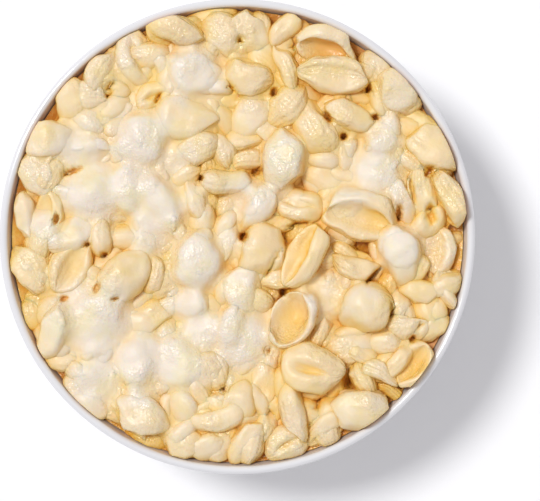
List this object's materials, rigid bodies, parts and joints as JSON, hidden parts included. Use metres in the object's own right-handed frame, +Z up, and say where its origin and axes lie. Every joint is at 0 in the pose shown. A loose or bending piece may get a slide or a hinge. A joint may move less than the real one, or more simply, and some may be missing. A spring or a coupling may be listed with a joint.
{
  "type": "mac and cheese in a bowl",
  "caption": "Round white bowl heaped with cooked pasta shells in a creamy cheese sauce, standing on its foot ring.",
  "frame": {"origin": "on the surface the bowl stands on, under the centre of its rim", "axes": "+Z up along the bowl's axis; +X and +Y are level, and the pictured view looks straight down with +Y up the picture"},
  "size_m": [0.15, 0.15, 0.0653],
  "materials": {
    "white_glaze": "gloss white glaze",
    "pasta_in_sauce": "moist cooked pasta coated in pale cheese sauce",
    "cheese_sauce": "creamy, wet sheen"
  },
  "bodies": {
    "root": {"bowl": "white_glaze", "mac_and_cheese": "pasta_in_sauce"}
  },
  "joints": []
}
